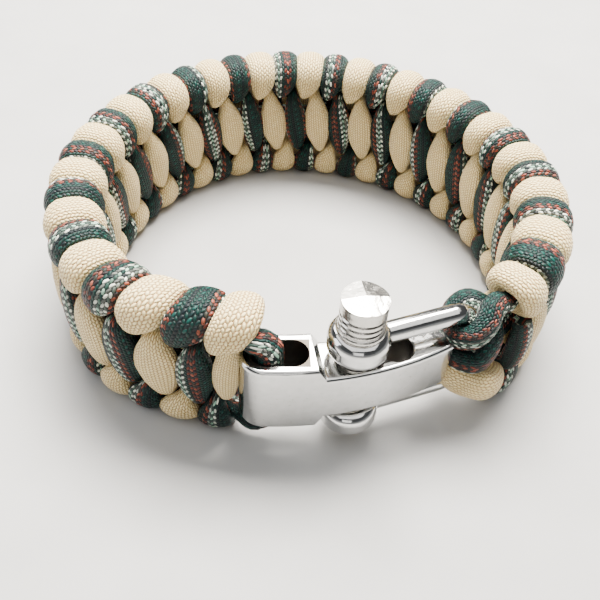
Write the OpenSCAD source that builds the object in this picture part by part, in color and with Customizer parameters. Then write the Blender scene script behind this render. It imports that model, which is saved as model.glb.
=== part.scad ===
// Cord bracelet in a two-colour ladder weave, closed by an adjustable shackle clasp.
// It lies on its side: X runs along the clasp, Y towards the back of the wrist, Z up.
// The origin is on the surface that it rests on, under the middle of its box. Millimetres.

/* [Weave] */
// Number of wraps along the top edge, odd so that both ends match
wraps = 37; // [31:2:43]
// Length of band that one wrap takes, away from the clasp
row_pitch = 4.8; // [4.5:0.1:5.2]
// Height of the band from edge to edge
band_h = 24.5; // [23.5:0.5:27]
// Thickness of the band from inner face to outer face
band_t = 8.6; // [8.2:0.2:9.4]
// Lean of the band's block end out of the upright, in degrees
end_lean = 6; // [0:1:8]

/* [Cords] */
// Share of two wraps' length that the tan cord fills
tan_share = 0.52; // [0.48:0.01:0.55]
// Thickness of both cords where they lie flat on a face
cord_t = 2.4; // [2.1:0.1:2.6]
// Clear space left between neighbouring cords
cord_gap = 0.15; // [0.1:0.05:0.3]

/* [Adjuster bar] */
// Thickness of the bar across the band
bar_t = 7; // [6.8:0.1:8]
// Height of the bar at its holes
bar_h = 8.2; // [7:0.2:9]
// Height of the block that holds the cord slot
block_h = 12.2; // [10.6:0.2:12.4]
// Radius that the bar is curved to
bar_bend_r = 45; // [40:1:80]
// Length of the cord slot
slot_l = 7.8; // [7.4:0.2:10]
// Width of the cord slot
slot_w = 4.6; // [4.2:0.1:5]
// Distance between the two pin holes
hole_pitch = 5.8; // [5.6:0.1:6.4]
// Solid length from the slot to the first pin hole
slot_web = 4; // [3.4:0.2:6]
// Solid length from the last pin hole to the end of the bar
bar_tail = 4.6; // [2:0.2:5]

/* [Shackle] */
// Diameter of the bow's rod
rod_d = 3.1; // [2.8:0.1:3.3]
// Outer diameter of the bow's eyes
eye_d = 8.6; // [8:0.2:9.6]
// Thickness of each eye
eye_t = 4.4; // [3.4:0.2:4.8]
// Clear space between each eye and the bar
eye_gap = 1.1; // [0.4:0.1:1.2]
// Distance from the pin's axis to the bow's upright
bow_reach = 17.4; // [16.8:0.2:20]
// Angle between the bow and the straight through the clasp, in degrees
bow_turn = 5; // [0:1:7]

/* [Pin] */
// Diameter of the pin's shank
pin_d = 4.9; // [4.4:0.1:5]
// Radial play of the pin in its holes
pin_play = 0.12; // [0.06:0.02:0.2]
// Diameter of the pin's head
head_d = 6.2; // [5.8:0.1:6.8]
// Height of the pin's head above the eye
head_h = 6; // [4:0.2:6.4]

/* [Hidden] */

$fn = 64;
metal = [0.82, 0.82, 0.80];
tan_cord = [0.87, 0.77, 0.56];
camo_cord = [0.08, 0.24, 0.20];

// Cord sizes
cord_sides = 8;
face_room = 2 * row_pitch - 2 * cord_gap;
tan_w = face_room * tan_share;
camo_w = face_room - tan_w;
cross_w = 1.7;
cross_t = 3;
face_reach = (band_t - cord_t) / 2;
crest_z = (band_h - cord_t) / 2;
mid_z = band_h / 2;

// Clasp places along the straight front, from the outer end of the block
end_wall = 1.5;
hole_d = pin_d + 2 * pin_play;
slot_mid = end_wall + slot_l / 2;
pin_from_end = end_wall + slot_l + slot_web + hole_d / 2;
block_gap = 0.5;
knot_room = 4.9;

// Plan of the band's middle line: one arc round the wrist that ends on the clasp's straight.
// gap_turn is the angle that the clasp takes of the full circle, found in a few passes.
band_l = (wraps + 1) * row_pitch;
clasp_span = block_gap + pin_from_end + bow_reach * cos(bow_turn) + knot_room;
function narrowed(turn, passes) =
    passes == 0 ? turn :
    narrowed(2 * asin(min(0.9, clasp_span * (360 - turn) * PI / (360 * band_l))), passes - 1);
gap_turn = narrowed(60, 40);
loop_radius = band_l / ((360 - gap_turn) * PI / 180);

// The loop isn't quite round: swells of one, two, three, four and five half waves along it
SWELLS = [0.5, 0.45, 0.7, 0, 0.4];
function swell(t) = [for (i = [0:len(SWELLS) - 1]) SWELLS[i] * sin((i + 1) * 180 * t)] * [1, 1, 1, 1, 1];

// Point of the middle line at a length along the band, and the way outward there
function line_point(along) =
    let (t = along / band_l, r = loop_radius + swell(t), a = 270 - gap_turn / 2 - t * (360 - gap_turn))
    [r * cos(a), r * sin(a)];
function outward(along) =
    let (d = line_point(along + 0.1) - line_point(along - 0.1))
    [-d[1], d[0]] / norm(d);

// The clasp stands this far in front of the straight between the band's ends, at the pin
clasp_out = 1.6;
straight_y = line_point(0)[1];
outer_edge = [for (a = [0:2:band_l]) line_point(a) + outward(a) * band_t / 2];
centre = [(min([for (p = outer_edge) p[0]]) + max([for (p = outer_edge) p[0]])) / 2,
          (max([for (p = outer_edge) p[1]]) + straight_y - clasp_out - eye_d / 2) / 2];

block_x = line_point(0)[0] + block_gap - centre[0];
pin_x = block_x + pin_from_end;
pin_y = straight_y - clasp_out - centre[1];
rod_x = pin_x + bow_reach * cos(bow_turn);
rod_y = pin_y + bow_reach * sin(bow_turn);

// Shackle levels above and below the band's middle height
eye_z = bar_h / 2 + eye_gap + eye_t / 2;
bow_bend_r = 3;

// Near the block the band leans: its lower edge stands further in than its upper edge
lean_l = 6 * row_pitch;
function lean(along, up) = (up - crest_z) * tan(end_lean) * max(0, min(1, 1 - along / lean_l));

// Bends a straight band's point [along, out, up] round the plan line
function bend(p) =
    let (q = line_point(p[0]) + outward(p[0]) * (p[1] + lean(p[0], p[2])) - centre)
    [q[0], q[1], mid_z + p[2]];

function unit(v) = v / norm(v);
function square_to(v, t) = unit(v - (v * t) * t);
function between(a, b, share) = a + (b - a) * share;

// One ring of a cord's flat-sided oval section: w along side, h across it
function ring(p, side, t, w, h) =
    let (across = cross(t, side), k = 1 / (2 * cos(180 / cord_sides)))
    [for (i = [0:cord_sides - 1])
        let (a = (i + 0.5) * 360 / cord_sides)
        p + side * w * k * cos(a) + across * h * k * sin(a)];

// A closed cord skinned over its rings
module cord(rings) {
    n = cord_sides;
    last = len(rings) - 1;
    walls = [for (j = [0:last - 1], i = [0:n - 1])
        let (a = j * n + i, b = j * n + (i + 1) % n)
        each [[a, b + n, b], [a, a + n, b + n]]];
    polyhedron(
        points = [for (r = rings) each r],
        faces = concat([[for (i = [0:n - 1]) i]], walls, [[for (i = [n - 1:-1:0]) last * n + i]]),
        convexity = 10);
}

// A quarter of a wrap, from the top crest to the middle of the inner face.
// along is a share of the pitch, out of the face's reach, up of the crest's height,
// and flat is 0 where the cord is squeezed between the core runs and 1 where it lies flat.
ALONG = 0;
OUT = 1;
UP = 2;
FLAT = 3;
ROOM = 4;
WRAP = [
    // along, out, up, flat
    [0.00, 0.00, 1.00, 1.00],
    [0.02, 0.86, 0.92, 1.00],
    [0.10, 1.00, 0.68, 0.85],
    [0.25, 0.00, 0.475, 0.00],
    [0.40, -1.00, 0.28, 0.85],
    [0.50, -1.00, 0.00, 1.00]
];
quarter = len(WRAP) - 1;
rings_per_wrap = 2 * quarter;

// Step j of a strand whose first top crest is at row first. Each wrap runs from one edge to
// the other, and the next is the same turned half round the band's middle line.
function wrap_step(first, j) =
    let (row = floor(j / rings_per_wrap), i = j - row * rings_per_wrap,
         down = i <= quarter, q = WRAP[down ? i : rings_per_wrap - i],
         flip = row % 2 == 0 ? 1 : -1)
    let (at = first + row + (down ? q[ALONG] : 1 - q[ALONG]))
    [place(at, q[UP]),
     flip * q[OUT] * face_reach,
     flip * (down ? 1 : -1) * q[UP] * crest_z,
     q[FLAT],
     (place(at + 0.5, q[UP]) - place(at - 0.5, q[UP])) / row_pitch];

// Beyond the first and last crests the wraps crowd together against the clasp. Near the ends
// the rows are looser, and their crests fan out towards the clasp.
block_crowd = 0.6;
knot_crowd = 0.5;
function crowd(row) =
    row < 1 ? 1 - (1 - row) * block_crowd :
    row > wraps ? wraps + (row - wraps) * knot_crowd : row;

block_loose = 0.04;
block_rows = 7.5;
block_fan = 0.13;
fan_rows = 4.5;
knot_loose = 0.1;
knot_rows = 4.5;
knot_fan = 0.22;
function beyond(rows) = max(0, rows) * max(0, rows);

// Length along the band of a place on a row, up being its share of the crest's height
function place(row, up) =
    let (left = max(1, row), right = max(1, wraps + 1 - row))
    row_pitch * crowd(row)
    - block_loose * beyond(block_rows - left) - block_fan * beyond(fan_rows - left) * up * up
    + knot_loose * beyond(knot_rows - right) + knot_fan * beyond(fan_rows - 0.5 - right) * up * up;

function place_of(s) = [s[0], s[1], s[2]];

// The same between two steps, for the ends that are tucked in part of the way
function strand_at(first, j) =
    between(wrap_step(first, floor(j)), wrap_step(first, ceil(j)), j - floor(j));

function strand_rings(first, from, to, face_w) =
    [for (j = concat([from + tuck], [for (i = [from + 1:to - 1]) i], [to - tuck]))
        let (s = strand_at(first, j),
             t = unit(place_of(strand_at(first, j + 1)) - place_of(strand_at(first, j - 1))),
             r = ring(place_of(s), square_to([1, 0, 0], t), t,
                      between(cross_w, face_w * s[ROOM], s[FLAT]), between(cross_t, cord_t, s[FLAT])))
        [for (p = r) bend(p)]];

// Both strands start and end squeezed between the core runs, at the two ends of the band
crossing = 3;
tuck = 0.55;

module weave_tan() {
    color(tan_cord)
    cord(strand_rings(-1, rings_per_wrap + crossing,
                      rings_per_wrap * (wraps + 2) - crossing, tan_w));
}

module weave_camo() {
    color(camo_cord)
    cord(strand_rings(0, crossing, rings_per_wrap * (wraps + 1) - crossing, camo_w));
}

// Core runs inside the weave: one along each edge and a pair along the middle
core_w = 1.8;
core_t = 2.4;
edge_up = crest_z - cord_t / 2 - 3 * cord_gap - core_w / 2;
middle_up = core_w / 2 + cord_gap / 2;
run_step = 7;
run_start = 0.7 * row_pitch;
loop_start = 0.4 * row_pitch;
run_end = band_l - 0.5 * row_pitch;
join = band_l / 2;
up_side = [0, 0, 1];

// A route is a list of rows: point, side that the width lies along, width, thickness
function route_rings(rows) =
    [for (i = [0:len(rows) - 1])
        let (t = unit(rows[min(i + 1, len(rows) - 1)][0] - rows[max(i - 1, 0)][0]))
        ring(rows[i][0], square_to(rows[i][1], t), t, rows[i][2], rows[i][3])];

// Rows of a core run between two places along the band
function run_rows(from, to, up, side) =
    let (n = round(abs(to - from) / run_step))
    [for (i = [0:n]) [bend([between(from, to, i / n), 0, up]), side, core_w, core_t]];

// Loop of the camouflage core through the slot of the block, from below to above
loop_w = 3.6;
loop_t = 3;
loop_r = 2.3;
loop_room = 0.5;
loop_along = -(pin_from_end - end_wall) + loop_room + loop_t / 2;
loop_turn = loop_along / bar_bend_r * 180 / PI;
loop_way = [cos(loop_turn), sin(loop_turn), 0];
loop_middle = [pin_x + bar_bend_r * sin(loop_turn), pin_y + bar_bend_r * (1 - cos(loop_turn)), mid_z];

function loop_row(a, back, up) =
    [loop_middle - back * loop_way + [0, 0, up], -sin(a) * loop_way + [0, 0, cos(a)],
     between(core_w, loop_t, sin(a)), between(core_t, loop_w, sin(a))];

slot_loop = [
    for (a = [0:30:90]) loop_row(a, loop_r * (1 - sin(a)), -edge_up + loop_r * (1 - cos(a))),
    loop_row(90, 0, 0),
    for (a = [90:30:180]) loop_row(a, loop_r * (1 - sin(a)), edge_up - loop_r * (1 + cos(a)))
];

// Turns round the bow's upright. Points are [towards the weave, outward, up] from its axis.
// The cord is pressed thin between the upright and the bar, and is full on the other sides.
turn_step = 36;
turn_thin = 2.1;
turn_full = 3;
camo_turn_w = 2.9;
tan_turn_w = 3.6;
function at_rod(p) = [rod_x + p[0], rod_y - p[1], mid_z + p[2]];
function turn_t(a) = between(turn_thin, turn_full, min(1, 1 + cos(a)));
function rod_turn(a, up) =
    let (r = (rod_d / 2 + cord_gap + 0.08) / cos(turn_step / 2) + turn_t(a) / 2)
    at_rod([r * cos(a), -r * sin(a), up]);

// Levels of the turns, one above the other inside the bow
turn_1_up = 3.45;
turn_2_up = 0.4;
turn_3_up = -3.0;

// Legs between the turns and the weave: towards the weave, outward, up, share of the full size
SHARE = 3;
CAMO_LEG_IN = [[4.9, 0.2, 7.7, 0.3], [3.8, 1.8, 6.7, 0.8], [2.2, 3.1, 5.2, 1]];
CAMO_LEG_OUT = [[2.7, -2.2, 0.6, 0.8], [4.8, -0.8, 1.3, 0.2]];
TAN_LEG_IN = [[4.9, 0.2, -7.8, 0.3], [3.8, 1.8, -6.6, 0.8], [2.1, 3.2, -4.7, 1]];
TAN_LEG_OUT = [[2.7, -2.2, -2.6, 0.8], [4.8, -0.8, -1.3, 0.2]];

function leg_rows(points, side, w) =
    [for (p = points)
        [at_rod(p), side, between(core_w, w, p[SHARE]), between(core_t, turn_full, p[SHARE])]];

function turn_rows(from, to, up_from, up_to, side, w) =
    let (n = round(abs(to - from) / turn_step))
    [for (i = [0:n])
        let (a = between(from, to, i / n))
        [rod_turn(a, between(up_from, up_to, i / n)), side, w, turn_t(a)]];

module core_camo() {
    color(camo_cord)
    cord(route_rings(concat(
        run_rows(join - 2 * cord_gap, loop_start, -edge_up, up_side),
        slot_loop,
        run_rows(loop_start, run_end, edge_up, -up_side),
        leg_rows(CAMO_LEG_IN, -up_side, camo_turn_w),
        turn_rows(-90, -270, turn_1_up, turn_1_up, -up_side, camo_turn_w),
        turn_rows(-306, -414, between(turn_1_up, turn_2_up, 0.2), between(turn_1_up, turn_2_up, 0.8),
                  -up_side, camo_turn_w),
        turn_rows(-450, -630, turn_2_up, turn_2_up, -up_side, camo_turn_w),
        leg_rows(CAMO_LEG_OUT, -up_side, camo_turn_w),
        run_rows(run_end, run_start, middle_up, -up_side))));
}

module core_tan() {
    color(tan_cord)
    cord(route_rings(concat(
        run_rows(join + 2 * cord_gap, run_end, -edge_up, up_side),
        leg_rows(TAN_LEG_IN, up_side, tan_turn_w),
        turn_rows(-90, -270, turn_3_up, turn_3_up, up_side, tan_turn_w),
        leg_rows(TAN_LEG_OUT, up_side, tan_turn_w),
        run_rows(run_end, run_start, -middle_up, up_side))));
}

// Profile of a strip with rounded edges, w across and h high
module strip(w, h, r) {
    square([w - 2 * r, h], center = true);
    square([w, h - 2 * r], center = true);
    for (x = [-1, 1], y = [-1, 1])
        translate([x * (w / 2 - r), y * (h / 2 - r)]) circle(r = r);
}

// Disc of height h with rounded rims
module rounded_disc(d, h, r) {
    rotate_extrude() {
        translate([0, -h / 2]) square([d / 2 - r, h]);
        translate([0, -h / 2 + r]) square([d / 2, h - 2 * r]);
        for (side = [-1, 1]) translate([d / 2 - r, side * (h / 2 - r)]) circle(r = r);
    }
}

// Stands what follows at a length along the bar's curve, measured from the pin
module on_bar(along) {
    translate([0, bar_bend_r, 0])
    rotate([0, 0, along / bar_bend_r * 180 / PI])
    translate([0, -bar_bend_r, 0])
    children();
}

// A stretch of the curved bar between two lengths along it
module bar_stretch(from, to, h) {
    translate([0, bar_bend_r, 0])
    rotate([0, 0, 270 + from / bar_bend_r * 180 / PI])
    rotate_extrude(angle = (to - from) / bar_bend_r * 180 / PI, $fn = 180)
    translate([bar_bend_r, 0])
    strip(bar_t, h, edge_round);
}

edge_round = 0.6;
block_end = -(hole_d / 2 + slot_web) + 1.8;
step_run = 1.2;
bar_end = hole_pitch + hole_d / 2 + bar_tail;
bore_edge = 0.25;

module adjuster_bar() {
    color(metal)
    translate([pin_x, pin_y, mid_z])
    difference() {
        union() {
            bar_stretch(-(pin_from_end - bar_t / 2), bar_end, bar_h);
            difference() {
                bar_stretch(-(pin_from_end - bar_t / 2), block_end, block_h);
                for (side = [-1, 1]) scale([1, 1, side]) block_step();
            }
            on_bar(-(pin_from_end - bar_t / 2)) rounded_disc(bar_t, block_h, edge_round);
        }
        for (at = [0, hole_pitch]) on_bar(at) pin_bore();
        on_bar(-(pin_from_end - slot_mid)) cord_slot();
    }
}

// Slanted cut that takes the block down to the bar
module block_step() {
    on_bar(block_end)
    translate([0, bar_t, bar_h / 2])
    rotate([90, 0, 0])
    linear_extrude(2 * bar_t)
    polygon([[0, 0], [-step_run, (block_h - bar_h) / 2 + 0.1], [step_run, (block_h - bar_h) / 2 + 0.1]]);
}

// Bore with a broken edge at both faces of the bar
module pin_bore() {
    wide = hole_d / 2 + 2 * bore_edge;
    flare_out = bar_h / 2 + bore_edge;
    flare_in = bar_h / 2 - bore_edge;
    rotate_extrude()
    polygon([[0, -block_h], [wide, -block_h], [wide, -flare_out], [hole_d / 2, -flare_in],
             [hole_d / 2, flare_in], [wide, flare_out], [wide, block_h], [0, block_h]]);
}

module cord_slot() {
    cube([slot_l - slot_w, slot_w, 2 * block_h], center = true);
    for (side = [-1, 1])
        translate([side * (slot_l - slot_w) / 2, 0, -block_h]) cylinder(d = slot_w, h = 2 * block_h);
}

eye_round = 1.6;

module shackle_bow() {
    color(metal)
    translate([pin_x, pin_y, mid_z])
    rotate([0, 0, bow_turn])
    difference() {
        union() {
            for (side = [-1, 1]) scale([1, 1, side]) bow_leg();
            translate([bow_reach, 0, -(eye_z - bow_bend_r)])
            cylinder(d = rod_d, h = 2 * (eye_z - bow_bend_r));
        }
        translate([0, 0, -eye_z - eye_t]) cylinder(d = hole_d, h = 2 * (eye_z + eye_t));
    }
}

module bow_leg() {
    translate([0, 0, eye_z]) {
        rounded_disc(eye_d, eye_t, eye_round);
        rotate([0, 90, 0]) cylinder(d = rod_d, h = bow_reach - bow_bend_r);
        translate([bow_reach - bow_bend_r, 0, -bow_bend_r])
        rotate([90, 0, 0])
        rotate_extrude(angle = 90)
        translate([bow_bend_r, 0]) circle(d = rod_d);
    }
}

// The head's worn grooves and its hammered top of four shallow facets
groove_count = 3;
groove_depth = 0.22;
groove_pitch = 0.95;
facet_slope = 11;
collar_r = 0.45;
seat_gap = 0.05;
tip_l = 0.9;

module shackle_pin() {
    eye_top = eye_z + eye_t / 2;
    head_z = eye_top + seat_gap;
    color(metal)
    translate([pin_x, pin_y, mid_z]) {
        translate([0, 0, -eye_top]) cylinder(d = pin_d, h = 2 * eye_top + head_h / 2);
        translate([0, 0, -eye_top - tip_l]) cylinder(d1 = pin_d - 2 * tip_l, d2 = pin_d, h = tip_l);
        translate([0, 0, head_z + collar_r])
        rotate_extrude() translate([head_d / 2 - collar_r / 3, 0]) circle(r = collar_r);
        translate([0, 0, head_z])
        difference() {
            cylinder(d = head_d, h = head_h);
            for (i = [0:groove_count - 1])
                translate([0, 0, 2 * collar_r + 0.5 + i * groove_pitch])
                rotate_extrude()
                translate([head_d / 2, 0])
                polygon([[-groove_depth, 0], [0.1, -groove_depth - 0.1], [0.1, groove_depth + 0.1]]);
            for (a = [45:90:315])
                rotate([0, 0, a - 8])
                translate([0, 0, head_h])
                rotate([0, facet_slope, 0])
                translate([-head_d, -head_d, 0])
                cube(2 * head_d);
        }
    }
}

shackle_bow();
shackle_pin();
adjuster_bar();
core_camo();
core_tan();
weave_camo();
weave_tan();
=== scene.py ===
import math
import bpy
from mathutils import Matrix, Vector


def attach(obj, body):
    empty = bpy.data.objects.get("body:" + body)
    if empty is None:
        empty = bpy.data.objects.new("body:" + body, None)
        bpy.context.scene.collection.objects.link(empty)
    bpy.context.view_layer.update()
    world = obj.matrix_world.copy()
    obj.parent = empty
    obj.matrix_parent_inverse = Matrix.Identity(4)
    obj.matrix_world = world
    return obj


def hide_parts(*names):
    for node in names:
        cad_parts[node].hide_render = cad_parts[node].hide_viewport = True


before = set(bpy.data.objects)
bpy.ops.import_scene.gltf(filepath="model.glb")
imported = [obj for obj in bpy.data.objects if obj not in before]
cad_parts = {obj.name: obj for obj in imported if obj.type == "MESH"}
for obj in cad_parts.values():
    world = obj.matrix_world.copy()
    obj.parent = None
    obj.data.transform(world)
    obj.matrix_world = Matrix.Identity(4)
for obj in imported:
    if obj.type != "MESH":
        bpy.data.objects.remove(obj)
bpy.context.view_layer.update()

# Line of the loop
# The bracelet is a woven band closed in a loop by a steel clasp, lying on its side. Its middle
# line is nearly a circle that ends at the clasp. Lengths are in millimetres until a mesh is made.
metre = 1000
wraps = 37
pitch = 4.8
band_high = 24.5
band_thick = 8.6
cord_flat = 2.4
crest_up = (band_high - cord_flat) / 2
middle_height = band_high / 2

end_wall = 1.5
slot_long = 7.8
slot_web = 4
pin_bore = 5.14
eye_wide = 8.6
bow_reach = 17.4
bow_angle = math.radians(5)
block_gap = 0.5
knot_room = 4.9
clasp_out = 1.6
pin_from_end = end_wall + slot_long + slot_web + pin_bore / 2
band_long = (wraps + 1) * pitch
clasp_span = block_gap + pin_from_end + bow_reach * math.cos(bow_angle) + knot_room

# The clasp takes a part of the circle that depends on the radius, so it is found in passes.
passes = 60
open_angle = 1.0
for _ in range(passes):
    open_angle = 2 * math.asin(clasp_span * (2 * math.pi - open_angle) / (2 * band_long))
loop_radius = band_long / (2 * math.pi - open_angle)

# The loop isn't quite round: it swells in one, two, three, four and five half waves.
swells = (0.5, 0.45, 0.7, 0.0, 0.4)
line_step = 0.1
edge_step = 2


def on_line(along):
    share = along / band_long
    swell = sum(s * math.sin((k + 1) * math.pi * share) for k, s in enumerate(swells))
    radius = loop_radius + swell
    angle = 1.5 * math.pi - open_angle / 2 - share * (2 * math.pi - open_angle)
    return Vector((radius * math.cos(angle), radius * math.sin(angle), 0))


def outward(along):
    step = on_line(along + line_step) - on_line(along - line_step)
    return Vector((-step.y, step.x, 0)).normalized()


front_line = on_line(0)
outer_edge = [on_line(along) + outward(along) * band_thick / 2
              for along in range(0, int(band_long) + 1, edge_step)]
loop_middle = Vector(((min(p.x for p in outer_edge) + max(p.x for p in outer_edge)) / 2,
                      (max(p.y for p in outer_edge) + front_line.y - clasp_out - eye_wide / 2) / 2,
                      0))
pin_axis = Vector((front_line.x + block_gap + pin_from_end, front_line.y - clasp_out, 0))
pin_axis = pin_axis - loop_middle
rod_axis = pin_axis + bow_reach * Vector((math.cos(bow_angle), math.sin(bow_angle), 0))

# At the block the band is drawn in behind the clasp, and its top edge is pulled to the slot.
drawn_wraps = 5.4
drawn_in = 3.8
top_ahead = 1.8
just_clear = 0.02


def bend(point):
    along, out, up = point
    near = max(0, min(1, 1 - along / (drawn_wraps * pitch)))
    near = near * near * (3 - 2 * near)
    along = along - top_ahead * near * up / crest_up
    spot = on_line(along) + outward(along) * (out - drawn_in * near) - loop_middle
    return Vector((spot.x, spot.y, max(just_clear, middle_height + up)))


# Tan strand
# A tan braided nylon cord makes every odd wrap of the band. It crosses from one edge to the other,
# passes between the core runs on its way, and turns round the edge. Its ends are tucked inside.

# The sheath is braided of small rounded stitches in columns. Each column is set half a stitch on
# from the next, and each stitch is a bundle of fine straight filaments.
stitch_long = 0.5
columns = 28
stitch_slant = 0.9
stitch_ends = 3.4
stitch_sides = 3.2
filaments_along = 0.8
filaments_across = 9
filament_high = 0.16
stitch_deep = 0.0003
lit_by_rise = 0.9
lit_by_filaments = 0.3


# Shade holds a material's nodes and Field one socket, so that shading is written as maths.
class Shade:
    def __init__(self, owner, shader):
        owner.use_nodes = True
        self.owner = owner
        self.tree = owner.node_tree
        self.shader = self.tree.nodes[shader]

    def add(self, kind, settings, sockets, output=0):
        node = self.tree.nodes.new(kind)
        for name, value in settings.items():
            if name == "stops":
                ramp = node.color_ramp.elements
                while len(ramp) < len(value):
                    ramp.new(1.0)
                for stop, (place, colour) in zip(ramp, value):
                    stop.position = place
                    stop.color = (*colour, 1)
            elif name == "blend":
                node.color_ramp.interpolation = value
            else:
                setattr(node, name, value)
        for name, value in sockets.items():
            self.feed(node.inputs[name], value)
        return Field(self, node.outputs[output])

    def feed(self, socket, value):
        if isinstance(value, Field):
            self.tree.links.new(value.socket, socket)
        else:
            socket.default_value = value

    def finish(self, **sockets):
        for name, value in sockets.items():
            self.feed(self.shader.inputs[name.replace("_", " ")], value)
        return self.owner

    # A Mix node has its colours at inputs 6 and 7, and the mixed colour at output 2.
    def mix(self, share, first, second):
        first, second = [c if isinstance(c, Field) else (*c, 1) for c in (first, second)]
        return self.add("ShaderNodeMix", {"data_type": "RGBA"}, {0: share, 6: first, 7: second}, 2)

    def noise(self, scale, detail, where=None):
        sockets = {"Scale": scale, "Detail": detail}
        if where is not None:
            sockets["Vector"] = where
        return self.add("ShaderNodeTexNoise", {}, sockets)

    def parts(self, vector):
        first = self.add("ShaderNodeSeparateXYZ", {}, {0: vector})
        return [Field(self, output) for output in first.socket.node.outputs]


class Field:
    def __init__(self, shade, socket):
        self.shade = shade
        self.socket = socket

    def maths(self, operation, *values):
        sockets = dict(enumerate(values))
        return self.shade.add("ShaderNodeMath", {"operation": operation}, sockets)

    def __add__(self, other):
        return self.maths("ADD", self, other)

    def __radd__(self, other):
        return self.maths("ADD", other, self)

    def __sub__(self, other):
        return self.maths("SUBTRACT", self, other)

    def __rsub__(self, other):
        return self.maths("SUBTRACT", other, self)

    def __mul__(self, other):
        return self.maths("MULTIPLY", self, other)

    def __rmul__(self, other):
        return self.maths("MULTIPLY", other, self)

    def __mod__(self, other):
        return self.maths("FLOORED_MODULO", self, other)

    def __abs__(self):
        return self.maths("ABSOLUTE", self)

    def floor(self):
        return self.maths("FLOOR", self)

    def root(self):
        return self.maths("SQRT", self)

    def clip(self):
        return self.maths("MINIMUM", self.maths("MAXIMUM", self, 0.0), 1.0)

    def between(self, low, high):
        return ((self - low) * (1 / (high - low))).clip()


def material(name):
    return Shade(bpy.data.materials.new(name), "Principled BSDF")


def sheath(name, twist):
    shade = material(name)
    along, around, _ = shade.parts(shade.add("ShaderNodeUVMap", {"uv_map": "Cord"}, {}))
    column = (around + along * twist) * columns
    number = column.floor() % columns
    odd = number % 2
    step = along + odd * 0.5
    count = step.floor()
    side = (column % 1) - 0.5
    stitch = (step % 1) - 0.5 + side * (0.5 - odd) * stitch_slant
    rise = (1 - stitch * stitch * stitch_ends - side * side * stitch_sides).clip().root()
    which = shade.add("ShaderNodeCombineXYZ", {}, {0: number, 1: count})
    chance = shade.add("ShaderNodeTexWhiteNoise", {"noise_dimensions": "2D"}, {"Vector": which})
    lay = shade.add("ShaderNodeCombineXYZ", {}, {0: along * filaments_along,
                                                 1: column * filaments_across})
    filaments = shade.noise(1.0, 2.0, lay)
    relief = shade.add("ShaderNodeBump", {}, {"Height": rise + filaments * filament_high,
                                              "Strength": 1.0, "Distance": stitch_deep})
    # Stitches are lighter where they rise and darker in the gaps between stitches and filaments:
    # painted shade.
    lit = rise * lit_by_rise + filaments * lit_by_filaments
    return shade, (rise, lit, chance, relief), (number, odd, count)


tan_light = (0.92, 0.77, 0.40)
tan_deep = (0.82, 0.64, 0.29)
tan_gap_shade = (0.42, 0.22, 0.07)
tan_patches = 90.0
patch_chance = 0.3
tan_rough = 0.62
tan_rise_gloss = 0.12


def tan_sheath():
    shade, surface, _ = sheath("tan_sheath", 0.0)
    rise, lit, chance, relief = surface
    patches = shade.noise(tan_patches, 1.0)
    patches = (patches + chance * patch_chance).between(0.4, 0.9)
    yarn = shade.mix(patches, tan_light, tan_deep)
    # The tan yarn darkens to the gap colour between the stitches: painted shade.
    colour = shade.mix(lit.between(0.2, 0.95), tan_gap_shade, yarn)
    return shade.finish(Base_Color=colour, Roughness=tan_rough - rise * tan_rise_gloss,
                        Normal=relief, Sheen_Weight=0.15, Sheen_Roughness=0.4,
                        Specular_IOR_Level=0.35)


# Half of one wrap, from the top edge to the bottom edge. Each row has the share of the wrap that
# is done, how far out and how far up the cord is, and how much of its full width it has there.
wrap_table = (
    (0.00, 0.00, 1.00, 1.00),
    (0.01, 0.55, 0.975, 1.00),
    (0.03, 0.86, 0.86, 1.00),
    (0.09, 0.93, 0.73, 0.84),
    (0.15, 0.83, 0.61, 0.40),
    (0.20, 0.58, 0.56, 0.14),
    (0.25, 0.00, 0.53, 0.04),
    (0.29, -0.62, 0.50, 0.12),
    (0.335, -0.86, 0.43, 0.36),
    (0.41, -0.96, 0.25, 0.80),
    (0.50, -0.99, 0.00, 1.00))
half_wrap = len(wrap_table) - 1
whole_wrap = 2 * half_wrap
tucked = 7.89

cord_gap = 0.15
face_out = (band_thick - cord_flat) / 2
face_room = 2 * pitch - 2 * cord_gap
tan_share = 0.52
tan_wide = face_room * tan_share
tan_leaf = 0.7
ring_sides = 22
roundness = 2.15
rings_per_step = 2
travel_step = 0.15

# Near the clasp the wraps are pushed along the band, their crests more than their middles. Each
# push has a rate, and the number of wraps from the end that it reaches. What is tucked in before
# the first wrap and after the last takes a share of a wrap's length.
first_share = 0.6
last_share = 0.5
block_push = (0.04, 7.5)
block_crest_push = (0.13, 4.5)
bow_push = (0.1, 4.5)
bow_crest_push = (0.22, 4)


def crowded(row):
    if row < 1:
        return 1 - (1 - row) * first_share
    if row > wraps:
        return wraps + (row - wraps) * last_share
    return row


def pushed(push, rows):
    rate, reach = push
    return rate * max(0, reach - rows) ** 2


def wrap_place(row, up):
    from_block = max(1, row)
    from_bow = max(1, wraps + 1 - row)
    return (pitch * crowded(row)
            - pushed(block_push, from_block) - pushed(block_crest_push, from_block) * up * up
            + pushed(bow_push, from_bow) + pushed(bow_crest_push, from_bow) * up * up)


def wrap_step(first, step):
    row, i = divmod(step, whole_wrap)
    down = i <= half_wrap
    share, out, up, flat = wrap_table[i if down else whole_wrap - i]
    flip = 1 if row % 2 == 0 else -1
    return (first + row + (share if down else 1 - share), flip * out,
            (flip if down else -flip) * up, flat)


# A smooth curve through four rows of numbers, from the second to the third.
def through(before, start, end, after, t):
    return [0.5 * (2 * b + (c - a) * t + (2 * a - 5 * b + 4 * c - d) * t * t
                   + (3 * b - a - 3 * c + d) * t ** 3)
            for a, b, c, d in zip(before, start, end, after)]


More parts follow.
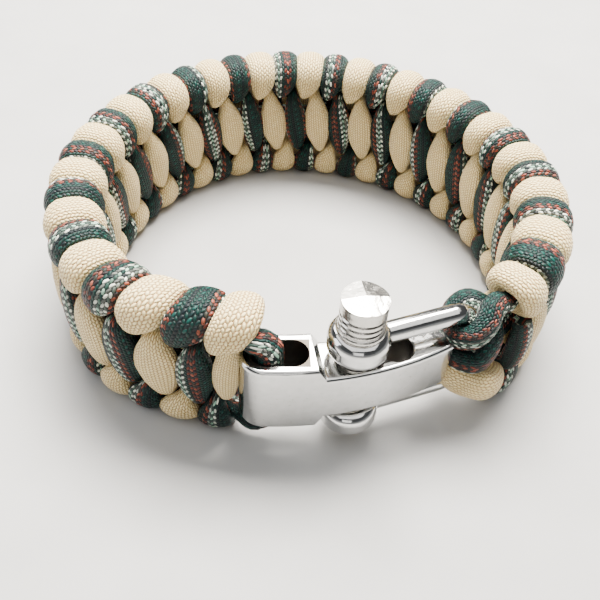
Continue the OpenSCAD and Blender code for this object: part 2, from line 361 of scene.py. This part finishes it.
def strand_at(first, step):
    whole = math.floor(step)
    points = [wrap_step(first, whole + k) for k in (-1, 0, 1, 2)]
    row, out, up, flat = through(*points, step - whole)
    share = min(1, abs(up))
    room = (wrap_place(row + 0.5, share) - wrap_place(row - 0.5, share)) / pitch
    place = Vector((wrap_place(row, share), out * face_out, up * crest_up))
    return place, min(1, max(0, flat)), room


# The cord's section is an oval, a little squarer than a plain one.
def oval(point, side, travel, wide, thick):
    side = (side - side.dot(travel) * travel).normalized()
    across = travel.cross(side)
    ring = []
    for i in range(ring_sides):
        angle = 2 * math.pi * i / ring_sides
        c, s = math.cos(angle), math.sin(angle)
        k = (abs(c) ** roundness + abs(s) ** roundness) ** (-1 / roundness)
        ring.append(point + side * (wide / 2 * k * c) + across * (thick / 2 * k * s))
    return ring


# A tube through the rings. Its map counts stitches along the cord and turns round it.
def lay_cord(name, rings, finish, node, turned=0.0):
    points = [p / metre for ring in rings for p in ring]
    n = ring_sides
    faces = [(j * n + i, j * n + (i + 1) % n, (j + 1) * n + (i + 1) % n, (j + 1) * n + i)
             for j in range(len(rings) - 1) for i in range(n)]
    last = (len(rings) - 1) * n
    faces += [tuple(range(n - 1, -1, -1)), tuple(last + i for i in range(n))]
    mesh = bpy.data.meshes.new(name)
    mesh.from_pydata(points, [], faces)
    middles = [sum(ring, Vector()) / n for ring in rings]
    along = [0.0]
    for a, b in zip(middles, middles[1:]):
        along.append(along[-1] + (b - a).length / stitch_long)
    around = []
    for ring in rings:
        edges = [(ring[(i + 1) % n] - ring[i]).length for i in range(n)]
        whole = sum(edges)
        share = [0.0]
        for edge in edges:
            share.append(share[-1] + edge / whole)
        around.append(share)
    layer = mesh.uv_layers.new(name="Cord")
    for face in mesh.polygons:
        face.use_smooth = len(face.vertices) == 4
        rounds = len(face.vertices) == 4 and {v % n for v in face.vertices} == {0, n - 1}
        for loop in face.loop_indices:
            j, i = divmod(mesh.loops[loop].vertex_index, n)
            layer.data[loop].uv = (along[j], turned + around[j][n if rounds and i == 0 else i])
    piece = bpy.data.objects.new(name, mesh)
    bpy.context.scene.collection.objects.link(piece)
    piece.data.materials.append(finish)
    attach(piece, "root")
    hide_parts(node)


# The first wrap is fuller than the rest, the tucked start is lifted clear of the dark core, and
# the cord spreads where it crosses a face. No two wraps are quite alike.
band_way = Vector((1, 0, 0))
inner_wide = 1.7
inner_thick = 2.7
face_thick = 0.6
touching = 0.4
first_row = 1.02
first_long = 0.2
first_plump = 0.32
first_shift = Vector((0.3, 0, 0.2))
second_row = 2.0
second_long = 0.25
lifted_row = 0.9
lift_long = 0.3
lift_high = 2.4
leaf_high = 6


def uneven(row):
    return 1 + 0.03 * math.sin(row * 7.3) + 0.02 * math.sin(row * 3.1)


def strand_rings(first, start, end, wide, leaf_wide, second_back):
    count = round((end - start) * rings_per_step)
    rings = []
    for k in range(count + 1):
        step = start + (end - start) * k / count
        point, flat, room = strand_at(first, step)
        ahead = strand_at(first, step + travel_step)[0]
        behind = strand_at(first, step - travel_step)[0]
        row = first + step / whole_wrap
        first_crest = math.exp(-((row - first_row) / first_long) ** 2)
        second_crest = math.exp(-((row - second_row) / second_long) ** 2)
        plump = uneven(row) + first_plump * first_crest
        point = point + first_shift * first_crest
        point.x -= second_back * second_crest
        if row < lifted_row:
            point.z += lift_high * min(1, (lifted_row - row) / lift_long)
        leaf = max(0, 1 - abs(point.z) / leaf_high)
        spread = wide * room * plump + touching + leaf_wide * leaf
        ring = oval(point, band_way, (ahead - behind).normalized(),
                    inner_wide + (spread - inner_wide) * flat, inner_thick + face_thick * flat)
        rings.append([bend(p) for p in ring])
    return rings


tan_cord = tan_sheath()
tan_rings = strand_rings(-1, whole_wrap + tucked, whole_wrap * (wraps + 2) - tucked,
                         tan_wide, tan_leaf, 0)
lay_cord("tan_strand", tan_rings, tan_cord, "weave_tan")

# Dark strand
# The second cord makes every even wrap. Its sheath is braided of dark green yarns, with lines of
# pale and of rust yarns that show as dashes, because every other stitch of theirs is green.
camo_wide = face_room - tan_wide
camo_leaf = 0.2
camo_second_back = 0.2
camo_twist = 0.0028
green = (0.002, 0.022, 0.018)
teal = (0.003, 0.060, 0.048)
black = (0.003, 0.008, 0.010)
pale = (0.78, 0.82, 0.70)
mint = (0.34, 0.56, 0.42)
rust = (0.16, 0.030, 0.017)
salmon = (0.31, 0.075, 0.042)
camo_gap_shade = (0.004, 0.008, 0.009)
dash_cover = 0.9
stray_cover = 0.6
faded = 0.55
camo_rough = 0.55
camo_rise_gloss = 0.1
yarn_order = (green, teal, green, black, green, teal, rust, salmon, pale, pale, mint, pale,
              green, rust, salmon, rust, green, teal, green, teal, green, black, pale, mint,
              pale, rust, salmon, green)


def camo_sheath():
    shade, surface, cell = sheath("camo_sheath", camo_twist)
    rise, lit, chance, relief = surface
    number, odd, count = cell
    stops = [(k / columns, colour) for k, colour in enumerate(yarn_order)]
    main = shade.add("ShaderNodeValToRGB", {"blend": "CONSTANT", "stops": stops},
                     {0: (number + 0.5) * (1 / columns)})
    under = shade.mix(odd, green, black)
    strays = chance.between(0.86, 0.9)
    dashes = (((count + odd) % 2) * dash_cover + strays * stray_cover).clip()
    yarn = shade.mix(dashes, main, under)
    yarn = shade.mix(chance * faded, yarn, under)
    # The yarn darkens to the near-black gap colour between the stitches: painted shade.
    colour = shade.mix(lit.between(0.2, 0.7), camo_gap_shade, yarn)
    return shade.finish(Base_Color=colour, Roughness=camo_rough - rise * camo_rise_gloss,
                        Normal=relief, Specular_IOR_Level=0.22)


camo_cord = camo_sheath()
camo_rings = strand_rings(0, tucked, whole_wrap * (wraps + 1) - tucked,
                          camo_wide, camo_leaf, camo_second_back)
lay_cord("camo_strand", camo_rings, camo_cord, "weave_camo")

# Dark core run
# Before it is woven, the dark cord runs inside the band: along the lower edge to the block,
# through its slot, along the upper edge, round the bow's upright, and back along the middle.
core_wide = 1.8
core_thick = 2.4
run_spacing = 7
edge_up = crest_up - cord_flat / 2 - 3 * cord_gap - core_wide / 2
middle_up = core_wide / 2 + cord_gap / 2
run_start = 0.7 * pitch
loop_start = 0.4 * pitch
run_end = band_long - 0.5 * pitch
loop_back = band_long / 2
up_side = Vector((0, 0, 1))


# A row of a cord's route has its place, the way its width lies, its width and its thickness.
def run_rows(start, end, up, side):
    count = round(abs(end - start) / run_spacing)
    return [(bend((start + (end - start) * i / count, 0, up)), side, core_wide, core_thick)
            for i in range(count + 1)]


bar_radius = 45


def on_bar(along):
    turn = along / bar_radius
    s, c = math.sin(turn), math.cos(turn)
    return pin_axis + Vector((bar_radius * s, bar_radius * (1 - c), 0)), Vector((c, s, 0))


loop_wide = 4.1
loop_thick = 4.0
loop_end_wide = 3.4
loop_end_thick = 3.0
loop_bend = 2.3
loop_room = 0.5
loop_place, loop_way = on_bar(-(pin_from_end - end_wall) + loop_room + loop_thick / 2)
loop_place = loop_place + up_side * middle_height


# The turn through the slot is two bends with a straight stretch between them.
def loop_row(degrees, up):
    s, c = math.sin(math.radians(degrees)), math.cos(math.radians(degrees))
    back = loop_bend * (1 - s)
    return (loop_place - back * loop_way + up_side * up, -s * loop_way + c * up_side,
            loop_end_thick + (loop_thick - loop_end_thick) * s,
            loop_end_wide + (loop_wide - loop_end_wide) * s)


def loop_rows():
    lower = [loop_row(degrees, -edge_up + loop_bend * (1 - math.cos(math.radians(degrees))))
             for degrees in (0, 30, 60, 90)]
    upper = [loop_row(degrees, edge_up - loop_bend * (1 + math.cos(math.radians(degrees))))
             for degrees in (90, 120, 150, 180)]
    return lower + [loop_row(90, 0)] + upper


rod_wide = 3.1
turn_thin = 2.1
turn_full = 3.6
turn_step = 36


def at_rod(towards, out, up):
    return rod_axis + Vector((towards, -out, middle_height + up))


def turn_rows(start, levels, side, wide):
    rows = []
    for i, up in enumerate(levels):
        angle = math.radians(start - turn_step * i)
        thick = turn_thin + (turn_full - turn_thin) * min(1, 1 + math.cos(angle))
        reach = rod_wide / 2 + cord_gap + thick / 2
        place = at_rod(reach * math.cos(angle), -reach * math.sin(angle), up)
        rows.append((place, side, wide, thick))
    return rows


# Between the band and the upright the cord swells to its full size. Each point has how far past
# the upright, how far out and how far up it is, and its share of that size.
def leg_rows(points, side, wide):
    return [(at_rod(towards, out, up), side, core_wide + (wide - core_wide) * share,
             core_thick + (turn_full - core_thick) * share) for towards, out, up, share in points]


rings_per_row = 5
route_step = 0.05


def route_rings(rows):
    rings = []
    rows = [rows[0]] + rows + [rows[-1]]
    spans = len(rows) - 3
    for count in range(spans * rings_per_row + 1):
        k = min(count // rings_per_row, spans - 1)
        t = (count - k * rings_per_row) / rings_per_row
        four = rows[k:k + 4]
        places = [row[0] for row in four]
        ahead = Vector(through(*places, t + route_step))
        behind = Vector(through(*places, t - route_step))
        side = four[1][1].lerp(four[2][1], t)
        wide = four[1][2] + (four[2][2] - four[1][2]) * t
        thick = four[1][3] + (four[2][3] - four[1][3]) * t
        rings.append(oval(Vector(through(*places, t)), side, (ahead - behind).normalized(),
                          wide, thick))
    return rings


camo_turn = 3.6
camo_core_turned = 0.4
camo_route = (
    run_rows(loop_back - 2 * cord_gap, loop_start, -edge_up, up_side)
    + loop_rows()
    + run_rows(loop_start, run_end, edge_up, -up_side)
    + leg_rows(((4.9, 0.2, 7.9, 0.3), (3.3, 0.5, 8.6, 0.8), (1.8, 1.5, 8.4, 1),
                (0.6, 2.8, 7.2, 1)), -up_side, camo_turn)
    + turn_rows(-106, (5.6, 4.2, 3.5, 3.6, 4.6, 5.6), -up_side, camo_turn)
    + turn_rows(-322, (5.2, 3.9, 2.4, 1.2), -up_side, camo_turn)
    + turn_rows(-450, (0.5, 0.3, 0.3, 0.3, 0.4, 0.4), -up_side, camo_turn)
    + leg_rows(((2.7, -2.2, 0.6, 0.8), (4.8, -0.8, 1.3, 0.2)), -up_side, camo_turn)
    + run_rows(run_end, run_start, middle_up, -up_side))
lay_cord("camo_core", route_rings(camo_route), camo_cord, "core_camo",
         camo_core_turned)

# Tan core run
# The tan cord's inner run follows the lower edge from the back of the loop to the bow. It turns
# half round the upright, under the dark turns, and comes back along the middle of the band.
tan_turn = 5.2
tan_route = (
    run_rows(loop_back + 2 * cord_gap, run_end, -edge_up, up_side)
    + leg_rows(((6.2, 1.2, -6.8, 0.6), (4.6, 3.2, -5.8, 1), (2.4, 4.3, -4.9, 1)),
               up_side, tan_turn)
    + turn_rows(-90, (-4.3, -3.7, -3.3, -3.1, -3.0, -3.0), up_side, tan_turn)
    + leg_rows(((2.7, -2.2, -2.6, 0.8), (4.8, -0.8, -1.3, 0.2)), up_side, tan_turn)
    + run_rows(run_end, run_start, -middle_up, up_side))
lay_cord("tan_core", route_rings(tan_route), tan_cord, "core_tan")

# Shackle bow
# The bow is a bent rod of cast stainless steel with an eye at each end. It is tumbled to a
# polish that leaves faint waves and hairline scratches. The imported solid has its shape.
wave_scale = 160.0
wear_scale = 900.0
hairline_scale = (400.0, 400.0, 9000.0)
grime_scale = 2200.0
line_high = 0.06
relief_strength = 0.35
relief_deep = 0.0002
dull_wear = 0.10
dull_lines = 0.05
worn_tint = 0.86
grime_cover = 0.4
old_grime = (0.25, 0.23, 0.20)
# Colour and roughness inside the bar's slot and spare hole; the dark colour is painted shade.
painted_recess_dark = (0.055, 0.048, 0.040)
recess_dull = 0.35


def polished_steel(name, tint, dull, dents, shade_in_recess=None):
    shade = material(name)
    where = shade.add("ShaderNodeTexCoord", {}, {}, "Object")
    waves = shade.noise(wave_scale, 2.0, where)
    wear = shade.noise(wear_scale, 4.0, where)
    hairline = shade.add("ShaderNodeMapping", {}, {"Vector": where, "Scale": hairline_scale})
    lines = shade.noise(1.0, 1.0, hairline)
    relief = shade.add("ShaderNodeBump", {}, {"Height": waves + lines * line_high + wear * dents,
                                              "Strength": relief_strength,
                                              "Distance": relief_deep})
    rough = dull + wear.between(0.45, 0.75) * dull_wear + lines.between(0.5, 0.8) * dull_lines
    grime = shade.noise(grime_scale, 3.0, where)
    colour = shade.mix(wear.between(0.3, 0.8), tint, tuple(worn_tint * c for c in tint))
    colour = shade.mix(grime.between(0.64, 0.72) * grime_cover, colour, old_grime)
    # Where a recess mask is given, the colour there is darkened as painted shade and made rougher.
    if shade_in_recess:
        inside = shade_in_recess(shade, where)
        colour = shade.mix(inside, colour, painted_recess_dark)
        rough = rough + inside * recess_dull
    return shade.finish(Base_Color=colour, Metallic=1.0, Roughness=rough, Normal=relief)


def dress(node, finish):
    for slot in bpy.data.objects[node].material_slots:
        slot.material = finish


dress("shackle_bow", polished_steel("polished_steel", (0.66, 0.66, 0.65), dull=0.08, dents=0.03))

# Shackle pin
# The pin is turned stainless steel that is screwed through the eyes by its faceted head. The
# head is handled the most, so it is duller and dented, with grime in its grooves.
dress("shackle_pin", polished_steel("worn_steel", (0.60, 0.58, 0.54), dull=0.20, dents=1.6))

# Adjuster bar
# The bar is cast and tumbled as the bow is, and the pin goes through one of its two holes. Inside
# the cord slot and the spare hole the steel is rougher, and its colour is darkened: painted shade.
slot_dark_long = 4.02
slot_dark_wide = 2.40
slot_fade = 0.06
hole_spacing = 5.8
hole_dark_square = 7.1
hole_fade = 0.3


# A mask of the bar's cord slot and spare hole, where the painted shade goes.
def slot_hole_painted_shade(shade, where):
    x, y, _ = [part * metre for part in shade.parts(where)]
    middle, way = on_bar(-(pin_from_end - end_wall - slot_long / 2))
    along = (x - middle.x) * way.x + (y - middle.y) * way.y
    across = (y - middle.y) * way.x - (x - middle.x) * way.y
    slot = (slot_dark_long - abs(along)).between(0, slot_fade)
    slot = slot * (slot_dark_wide - abs(across)).between(0, slot_fade)
    hole, _ = on_bar(hole_spacing)
    near = (x - hole.x) * (x - hole.x) + (y - hole.y) * (y - hole.y)
    return (slot + (hole_dark_square - near).between(0, hole_fade)).clip()


dress("adjuster_bar", polished_steel("bar_steel", (0.64, 0.64, 0.63), dull=0.08, dents=0.03,
                                     shade_in_recess=slot_hole_painted_shade))

# Floor
# The bracelet lies on a plain pale floor with the grain of matt paper. The floor is large, so
# that its far edge is out of the camera's view.
floor_half = 3
paper_dark = (0.37, 0.37, 0.365)
paper_light = (0.40, 0.40, 0.395)
paper_grain = 400.0
floor_mesh = bpy.data.meshes.new("floor")
floor_mesh.from_pydata([(-floor_half, -floor_half, 0), (floor_half, -floor_half, 0),
                        (floor_half, floor_half, 0), (-floor_half, floor_half, 0)],
                       [], [(0, 1, 2, 3)])
floor = bpy.data.objects.new("floor", floor_mesh)
bpy.context.scene.collection.objects.link(floor)
paper = material("pale_paper")
grain = paper.noise(paper_grain, 3.0)
floor_mesh.materials.append(paper.finish(
    Base_Color=paper.mix(grain.between(0.3, 0.7), paper_dark, paper_light),
    Roughness=0.8, Specular_IOR_Level=0.2))


# Lamps and walls
# A soft key lamp stands above the back right of the loop, with a wide lamp at the ceiling, a soft
# lamp behind, and weak ones at the left and in front. The walls are palest at the horizon.
def lamp(name, place, aim, size, power, colour):
    data = bpy.data.lights.new(name, "AREA")
    data.shape = "RECTANGLE"
    data.size, data.size_y = size
    data.energy = power
    data.color = colour
    light = bpy.data.objects.new(name, data)
    light.location = place
    light.rotation_euler = (Vector(aim) - Vector(place)).to_track_quat("-Z", "Y").to_euler()
    bpy.context.scene.collection.objects.link(light)


band_middle = (0, 0, 0.01)
lamp("key_lamp", (0.08, 0.16, 0.44), band_middle, (0.30, 0.24), 20.0, (1.0, 0.95, 0.88))
lamp("ceiling_lamp", (0, 0, 2.4), (0, 0, 0), (3.5, 3.5), 75.0, (1.0, 0.98, 0.96))
lamp("back_lamp", (0.0, 0.55, 0.50), band_middle, (0.6, 0.3), 6.5, (1.0, 0.97, 0.92))
lamp("side_lamp", (-0.45, 0.10, 0.25), band_middle, (0.2, 0.3), 0.9, (0.93, 0.96, 1.0))
lamp("front_lamp", (-0.15, -0.45, 0.25), band_middle, (0.25, 0.2), 0.3, (1.0, 0.98, 0.95))
world = bpy.data.worlds.new("studio")
bpy.context.scene.world = world
walls = Shade(world, "Background")
_, _, height = walls.parts(walls.add("ShaderNodeTexCoord", {}, {}, "Generated"))
horizon = (0.66, 0.66, 0.66)
higher = (0.085, 0.088, 0.092)
wall_shades = ((0.0, horizon), (0.40, higher))
walls.finish(Color=walls.add("ShaderNodeValToRGB", {"stops": wall_shades}, {0: height}))

# Camera
# It looks down at the bracelet from the front, a little from the left and slightly rolled, as
# the photograph does.
photo_wide = 600
sensor_wide = 36
focal_pixels = 720.0
azimuth, elevation, roll = (math.radians(a) for a in (-19.11, 45.82, 4.56))
eye = Vector((-31.11, -87.95, 90.67)) - loop_middle
back = Vector((math.sin(azimuth) * math.cos(elevation), -math.cos(azimuth) * math.cos(elevation),
               math.sin(elevation)))
level = Vector((math.cos(azimuth), math.sin(azimuth), 0))
upright = back.cross(level)
right = math.cos(roll) * level + math.sin(roll) * upright
above = math.cos(roll) * upright - math.sin(roll) * level
lens = bpy.data.cameras.new("camera")
lens.sensor_width = sensor_wide
lens.lens = focal_pixels / photo_wide * sensor_wide
lens.clip_start = 0.005
camera = bpy.data.objects.new("camera", lens)
turned = Matrix((right, above, back)).transposed().to_4x4()
camera.matrix_world = Matrix.Translation(eye / metre) @ turned
bpy.context.scene.collection.objects.link(camera)
bpy.context.scene.camera = camera
